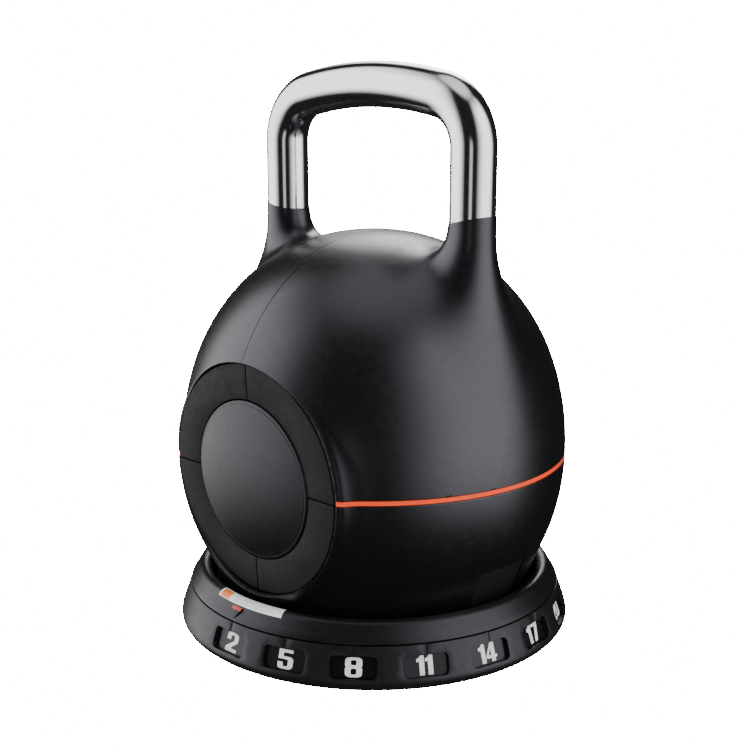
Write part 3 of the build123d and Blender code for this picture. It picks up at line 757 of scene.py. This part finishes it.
# ------------------------------------------------------------------ pointer and sticker
def slope_point(down, off, angle):
    """A point on the tray's outer slope: down from its shoulder, off its surface, at an angle round it."""
    cos, sin = math.cos(TRAY_SLOPE), math.sin(TRAY_SLOPE)
    r = CREST_X + CREST_R * cos + down * sin + off * cos
    z = CREST_Z + CREST_R * sin - down * cos + off * sin
    return (r * math.cos(angle), r * math.sin(angle), z)


def build_pointer():
    """A small raised arrow head, red on its upper facet and black below, the black being painted shade on the
    lower facets.
    """
    mid = -math.pi / 2

    def pair(down, off, half):
        return slope_point(down, off, mid - half), slope_point(down, off, mid + half)

    top_l, top_r = pair(POINTER_TOP, 0.0, POINTER_HALF)
    tip = slope_point(POINTER_TIP, 0.0, mid)
    ridge_l, ridge_r = pair(POINTER_RIDGE, POINTER_RIDGE_UP, POINTER_HALF * POINTER_RIDGE_SHARE)
    high_l, high_r = pair(POINTER_TOP, POINTER_TOP_UP, POINTER_HALF)
    low = slope_point(POINTER_LOW, POINTER_LOW_UP, mid)
    verts = [top_l, top_r, tip, high_l, high_r, ridge_l, ridge_r, low]
    faces = [(3, 4, 6, 5), (5, 6, 7), (0, 1, 4, 3), (0, 3, 5, 7, 2), (1, 2, 7, 6, 4), (0, 2, 1)]
    obj = make_object("pointer", verts, faces, smooth=False)
    recalc(obj)
    return bevelled(obj, POINTER_EDGE, 2, 20.0)


pointer = build_pointer()
place(pointer, "base", [MAT["red"], MAT["window"]], "pointer_red", "pointer_arrow")
# Faces below the ridge get black, painted shade standing in for the lower facets turned away from the light.
ridge_z = slope_point(POINTER_RED_FROM, POINTER_RED_UP, 0)[2] * MM
for face in pointer.data.polygons:
    face.material_index = 0 if face.center.z > ridge_z else 1


BLOCK_ALONG, BLOCK_UP = (0.03, 0.20), (0.12, 0.88)      # shares of the sticker's length and height
RULE_ALONG, RULES_UP = (0.28, 0.86), ((0.38, 0.44), (0.56, 0.62))


def sticker_kind(share, height):
    """The material at a place on the sticker: 0 white, 1 the orange block, 2 a grey rule."""
    if BLOCK_ALONG[0] < share < BLOCK_ALONG[1] and BLOCK_UP[0] < height < BLOCK_UP[1]:
        return 1
    if RULE_ALONG[0] < share < RULE_ALONG[1] and any(low < height < high for low, high in RULES_UP):
        return 2
    return 0


def build_sticker():
    """A printed film over the crest: a white strip with an orange block at its left and two grey rules."""
    across = [("slope", STICKER_DOWN * (1 - t)) for t in np.linspace(0, 1, 9)]
    across += [("crest", t) for t in np.linspace(TRAY_SLOPE, math.radians(STICKER_TOP), 18)[1:]]
    around = np.radians(np.linspace(STICKER_FROM, STICKER_TO, 60))
    verts = []
    for off in (STICKER_GAP, STICKER_FILM):
        for kind, value in across:
            for a in around:
                if kind == "slope":
                    verts.append(slope_point(value, off, a))
                else:
                    r = CREST_X + (CREST_R + off) * math.cos(value)
                    z = CREST_Z + (CREST_R + off) * math.sin(value)
                    verts.append((r * math.cos(a), r * math.sin(a), z))
    rows, cols = len(across), len(around)
    at = lambda layer, i, j: (layer * rows + i) * cols + j
    faces, kinds = [], []
    for i in range(rows - 1):
        for j in range(cols - 1):
            faces.append((at(1, i, j), at(1, i, j + 1), at(1, i + 1, j + 1), at(1, i + 1, j)))
            kinds.append(sticker_kind(j / (cols - 1), i / (rows - 1)))
            faces.append((at(0, i, j), at(0, i + 1, j), at(0, i + 1, j + 1), at(0, i, j + 1)))
            kinds.append(0)
    for i in range(rows - 1):
        for j in (0, cols - 1):
            faces.append((at(0, i, j), at(1, i, j), at(1, i + 1, j), at(0, i + 1, j)))
            kinds.append(0)
    for j in range(cols - 1):
        for i in (0, rows - 1):
            faces.append((at(0, i, j), at(0, i, j + 1), at(1, i, j + 1), at(1, i, j)))
            kinds.append(0)
    obj = make_object("sticker", verts, faces)
    obj.data.polygons.foreach_set("material_index", kinds)
    recalc(obj)
    return auto_smooth(obj, 40.0)


place(build_sticker(), "base", [MAT["sticker"], MAT["orange"], MAT["rule"]], "sticker_white", "notice_sticker")


# ------------------------------------------------------------------ soft edges on the carried-over dial ring
weld = nodes["dial_ring"].modifiers.new("weld", "WELD")
weld.merge_threshold = DIAL_WELD * MM
edge = nodes["dial_ring"].modifiers.new("edge", "BEVEL")
edge.width = DIAL_EDGE * MM
edge.segments = 2
edge.limit_method = "ANGLE"
edge.angle_limit = math.radians(DIAL_EDGE_ANGLE)


# ------------------------------------------------------------------ handle
def handle_path():
    """Points and headings of the handle's centreline in the XZ plane, from the left leg to the right."""
    middle_z = HANDLE_TOP - TUBE_R - ARCH_R
    corner_x = LEG_X - CORNER_R
    corner = np.array((corner_x, middle_z + math.sqrt((ARCH_R - CORNER_R) ** 2 - corner_x ** 2)))
    meet = math.atan2(corner[1] - middle_z, corner[0])
    points = []
    for z in np.linspace(COLLAR_Z - HANDLE_SUNK, corner[1], 22, endpoint=False):
        points.append((LEG_X, z, 0.0, 1.0))
    for t in np.linspace(0, meet, 34, endpoint=False):
        points.append((corner[0] + CORNER_R * math.cos(t), corner[1] + CORNER_R * math.sin(t),
                       -math.sin(t), math.cos(t)))
    for t in np.linspace(meet, math.pi / 2, 24):
        points.append((ARCH_R * math.cos(t), middle_z + ARCH_R * math.sin(t), -math.sin(t), math.cos(t)))
    right = np.array(points)
    left = right[-2::-1] * np.array((-1, 1, 1, -1))
    return np.vstack([right, left])


def build_handle():
    """The bent tube, with its ends cut along the collars' slant."""
    path = handle_path()
    around = 96
    turn = np.linspace(0, 2 * math.pi, around, endpoint=False)
    verts, faces = [], []
    for radius in (TUBE_R, TUBE_BORE):
        for k, (x, z, tx, tz) in enumerate(path):
            side = np.array((tz, 0.0, -tx))
            spokes = np.cos(turn)[:, None] * side + np.sin(turn)[:, None] * np.array((0, 1.0, 0))
            ring = np.array((x, 0.0, z)) + radius * spokes
            if k in (0, len(path) - 1):
                ring[:, 2] = COLLAR_Z + HANDLE_GAP + (np.abs(ring[:, 0]) - LEG_X) * math.tan(COLLAR_SLANT)
            verts.append(ring)
    rows = len(path)
    verts = np.vstack(verts)
    index = lambda layer, k, i: (layer * rows + k) * around + i % around
    for k in range(rows - 1):
        for i in range(around):
            faces.append((index(0, k, i), index(0, k, i + 1), index(0, k + 1, i + 1), index(0, k + 1, i)))
            faces.append((index(1, k, i), index(1, k + 1, i), index(1, k + 1, i + 1), index(1, k, i + 1)))
    for k in (0, rows - 1):
        for i in range(around):
            faces.append((index(0, k, i), index(1, k, i), index(1, k, i + 1), index(0, k, i + 1)))
    obj = make_object("handle", verts, faces)
    recalc(obj)
    return bevelled(obj, TUBE_EDGE, 2, 50.0)


place(build_handle(), "bell", MAT["chrome"], "chrome", "handle_tube")


# ------------------------------------------------------------------ dial numbers
W, T, DIGIT_GAP = 0.60, 0.20, 0.05      # a digit's width, its stroke and the gap, for a height of one
DIGIT_HALF_THICK, DIGIT_LIFT = 0.08, 0.06


def digit_loops(digit):
    """A bold condensed digit of height one: (points, corner radii) of its outline and holes, and its width."""
    if digit == 1:
        return [([(0.13, 0), (0.37, 0), (0.37, 1), (0.19, 1), (0.13, 0.90), (0, 0.84), (0, 0.68), (0.13, 0.70)],
                 0.015)], 0.37
    if digit == 4:
        return [([(0.30, 1), (0.51, 1), (0.51, 0.35), (0.62, 0.35), (0.62, 0.20), (0.51, 0.20), (0.51, 0),
                  (0.29, 0), (0.29, 0.20), (0, 0.20), (0, 0.36)], 0.012),
                ([(0.29, 0.35), (0.29, 0.74), (0.13, 0.35)], 0.0)], 0.62
    if digit == 7:
        return [([(0, 1), (0.54, 1), (0.54, 0.84), (0.36, 0), (0.12, 0), (0.31, 0.82), (0, 0.82)], 0.012)], 0.54
    if digit == 0:
        return [([(0, 0), (W, 0), (W, 1), (0, 1)], 0.24),
                ([(T, 0.15), (W - T, 0.15), (W - T, 0.85), (T, 0.85)], 0.09)], W
    if digit == 8:
        return [([(0, 0), (W, 0), (W, 0.45), (W - 0.035, 0.52), (W, 0.59), (W, 1), (0, 1), (0, 0.59),
                  (0.035, 0.52), (0, 0.45)],
                 (0.22, 0.22, 0.08, 0.03, 0.08, 0.22, 0.22, 0.08, 0.03, 0.08)),
                ([(T, 0.14), (W - T, 0.14), (W - T, 0.44), (T, 0.44)], 0.08),
                ([(T, 0.61), (W - T, 0.61), (W - T, 0.86), (T, 0.86)], 0.08)], W
    if digit == 2:
        return [([(0, 0), (W, 0), (W, 0.17), (0.25, 0.17), (W, 0.56), (W, 1), (0, 1), (0, 0.62), (T, 0.62),
                  (T, 0.86), (W - T, 0.86), (W - T, 0.60), (0, 0.20)],
                 (0, 0, 0, 0.03, 0.10, 0.24, 0.24, 0, 0, 0.08, 0.08, 0.08, 0.06))], W
    return [([(0, 0), (W, 0), (W, 0.64), (T, 0.64), (T, 0.84), (W - 0.04, 0.84), (W - 0.04, 1), (0.01, 1),
              (0.01, 0.50), (W - T, 0.50), (W - T, 0.14), (T, 0.14), (T, 0.34), (0, 0.34)],
             (0.24, 0.24, 0.22, 0, 0, 0, 0, 0, 0.02, 0.08, 0.08, 0.08, 0, 0))], W


def build_number(number, name, basis, height, squeeze):
    """A printed number standing a little above its plate."""
    curve = bpy.data.curves.new(name, "CURVE")
    curve.dimensions = "2D"
    curve.fill_mode = "BOTH"
    digits = [int(c) for c in str(number)]
    width = sum(digit_loops(d)[1] for d in digits) + DIGIT_GAP * (len(digits) - 1)
    start = -width / 2
    for d in digits:
        loops, wide = digit_loops(d)
        for points, radii in loops:
            loop = rounded_loop(points, radii, 6)
            spline = curve.splines.new("POLY")
            spline.points.add(len(loop) - 1)
            for point, (x, y) in zip(spline.points, loop):
                point.co = ((x + start) * height * squeeze * MM, (y - 0.5) * height * MM, 0, 1)
            spline.use_cyclic_u = True
        start += wide + DIGIT_GAP
    curve.extrude = DIGIT_HALF_THICK * MM
    flat = linked(name, curve)
    dg = bpy.context.evaluated_depsgraph_get()
    mesh = bpy.data.meshes.new_from_object(flat.evaluated_get(dg))
    discard(flat)
    co = coordinates(mesh) + np.array((0, 0, DIGIT_LIFT))
    set_coordinates(mesh, co @ basis[:3, :3].T + basis[:3, 3])
    return auto_smooth(linked(name, mesh))


def window_basis(k, depth):
    """The plane of dial window k, at a depth under the ring's sloping face."""
    angle = -math.pi / 2 + k * DIAL_STEP
    outward = np.array((math.cos(angle) * math.cos(PLATE_SLOPE), math.sin(angle) * math.cos(PLATE_SLOPE),
                        math.sin(PLATE_SLOPE)))
    along = np.array((-math.sin(angle), math.cos(angle), 0))
    middle = np.array((PLATE_R * math.cos(angle), PLATE_R * math.sin(angle), PLATE_Z))
    return plane_basis(middle - outward * depth, along, outward)


for k, number in enumerate(NUMBERS):
    squeeze = SQUEEZE_TWO if number > 9 else SQUEEZE_ONE
    digits = build_number(number, f"number_{number}", window_basis(k, PLATE_DEPTH), DIGIT_HEIGHT, squeeze)
    place(digits, "dial", MAT["digit"], "number_black")


# ------------------------------------------------------------------ camera, light and floor
def look_basis():
    back = Vector((math.sin(CAMERA_AZIMUTH) * math.cos(CAMERA_ELEVATION),
                   -math.cos(CAMERA_AZIMUTH) * math.cos(CAMERA_ELEVATION), math.sin(CAMERA_ELEVATION)))
    right = Vector((math.cos(CAMERA_AZIMUTH), math.sin(CAMERA_AZIMUTH), 0))
    return right, back.cross(right), back


camera_data = bpy.data.cameras.new("camera")
camera_data.lens = CAMERA_LENS
camera_data.sensor_width = CAMERA_SENSOR
camera_data.shift_x, camera_data.shift_y = CAMERA_SHIFT_X, CAMERA_SHIFT_Y
camera_data.clip_start, camera_data.clip_end = 0.01, 100.0
camera = linked("camera", camera_data)
right, up, back = look_basis()
camera.matrix_world = Matrix.Translation(Vector((0, 0, CAMERA_AIM_Z)) + back * CAMERA_DISTANCE) @ Matrix(
    (right, up, back)).transposed().to_4x4()
bpy.context.scene.camera = camera

# Soft boxes of the studio: azimuth and elevation in degrees as (from, to, softness of each edge), brightness.
# Azimuths are fixed directions in the room, counted from the main view towards the right.
SOFT_BOXES = (
    ((30, 92, 24, 14), (-22, 56, 13, 16), 2.9),
    ((-22, -10, 6, 4), (-24, 6, 6, 6), 1.0),
    ((-134, -66, 9, 22), (-21, 52, 13, 20), 3.1),
    ((156, 200, 8, 8), (22, 46, 6, 8), 9.0),
    ((-200, -168, 8, 8), (24, 46, 6, 8), 6.0),
    ((-200, -168, 8, 5), (2, 30, 6, 8), 1.2),
    ((-200, 200, 5, 5), (66, 120, 9, 5), 1.3),
)
DARK_LEVEL = 0.02
FILL_LEVEL = 1.5          # soft light from all round for matt surfaces
BACKDROP = 60.0


def build_world():
    world = bpy.data.worlds.new("studio")
    world.use_nodes = True
    bpy.context.scene.world = world
    tree = world.node_tree
    tree.nodes.clear()
    make, link = node_maker(tree), tree.links.new

    def maths(operation, a, b=None):
        node = make("ShaderNodeMath", operation=operation)
        for socket, value in zip(node.inputs, (a, b)):
            if value is None:
                continue
            if hasattr(value, "links"):
                link(value, socket)
            else:
                socket.default_value = value
        return node.outputs[0]

    def step(value, lo, hi, below, above):
        result = None
        for at, edge, low, high in ((lo, below, 0.0, 1.0), (hi, above, 1.0, 0.0)):
            node = make("ShaderNodeMapRange", interpolation_type="SMOOTHSTEP")
            link(value, node.inputs["Value"])
            node.inputs["From Min"].default_value = at - edge
            node.inputs["From Max"].default_value = at + edge
            node.inputs["To Min"].default_value = low
            node.inputs["To Max"].default_value = high
            result = node.outputs[0] if result is None else maths("MULTIPLY", result, node.outputs[0])
        return result

    def dot(direction):
        node = make("ShaderNodeVectorMath", operation="DOT_PRODUCT")
        link(coords.outputs["Generated"], node.inputs[0])
        node.inputs[1].default_value = direction
        return node.outputs["Value"]

    coords = make("ShaderNodeTexCoord")
    ahead = Vector((back.x, back.y, 0)).normalized()
    azimuth = maths("MULTIPLY", maths("ARCTAN2", dot(right), dot(ahead)), 180 / math.pi)
    elevation = maths("MULTIPLY", maths("ARCSINE", dot((0, 0, 1))), 180 / math.pi)
    level = None
    for across, upward, strength in SOFT_BOXES:
        box = maths("MULTIPLY", maths("MULTIPLY", step(azimuth, *across), step(elevation, *upward)), strength)
        level = box if level is None else maths("MAXIMUM", level, box)
    level = maths("MAXIMUM", level, DARK_LEVEL)
    paths = make("ShaderNodeLightPath")
    level = maths("MAXIMUM", level, maths("MULTIPLY", paths.outputs["Is Diffuse Ray"], FILL_LEVEL))
    room = make("ShaderNodeBackground")
    link(level, room.inputs["Strength"])
    white = make("ShaderNodeBackground")
    white.inputs["Strength"].default_value = BACKDROP
    mix = make("ShaderNodeMixShader")
    link(paths.outputs["Is Camera Ray"], mix.inputs[0])
    link(room.outputs[0], mix.inputs[1])
    link(white.outputs[0], mix.inputs[2])
    out = make("ShaderNodeOutputWorld")
    link(mix.outputs[0], out.inputs["Surface"])


build_world()

FLOOR_HALF, FLOOR_Z = 6000, -0.4
floor = make_object("floor", [(x * FLOOR_HALF, y * FLOOR_HALF, FLOOR_Z)
                              for x, y in ((-1, -1), (1, -1), (1, 1), (-1, 1))], [(0, 1, 2, 3)])
floor_mat = bpy.data.materials.new("floor_white")
floor_mat.use_nodes = True
floor_shader = floor_mat.node_tree.nodes["Principled BSDF"]
floor_shader.inputs["Base Color"].default_value = (0.9, 0.9, 0.9, 1)
floor_shader.inputs["Roughness"].default_value = 0.9
floor_shader.inputs["Emission Color"].default_value = (1, 1, 1, 1)
floor_shader.inputs["Emission Strength"].default_value = BACKDROP
floor.data.materials.append(floor_mat)
floor.visible_glossy = False
floor.visible_diffuse = False

bpy.context.view_layer.update()
